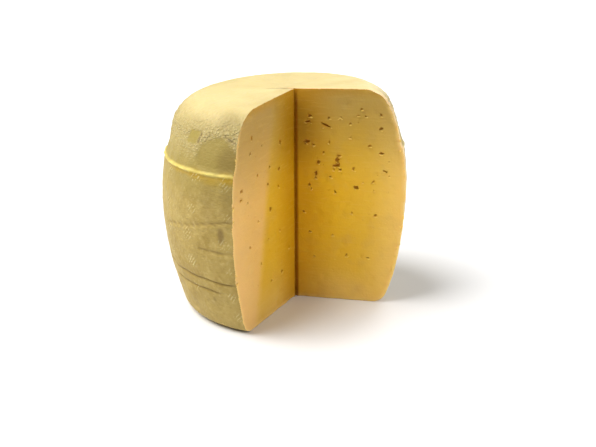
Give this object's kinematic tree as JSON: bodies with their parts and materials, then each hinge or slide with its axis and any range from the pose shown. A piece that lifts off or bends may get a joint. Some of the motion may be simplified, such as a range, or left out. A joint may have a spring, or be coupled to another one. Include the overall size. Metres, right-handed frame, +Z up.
{
  "type": "sardo cheese",
  "caption": "Barrel-shaped hard cheese that stands on its flat base, with a wide wedge cut out: pale rind with a raised seam, and golden paste with small eyes.",
  "frame": {"origin": "on the barrel's axis, in the plane of the flat base", "axes": "+Z up along the barrel's axis; +X along the right-hand cut face, so the cut-out opens towards +X and -Y"},
  "size_m": [0.164, 0.1627, 0.1489],
  "materials": {
    "cheese": "satin, a little waxy"
  },
  "bodies": {
    "root": {"cheese": "cheese"}
  },
  "joints": []
}
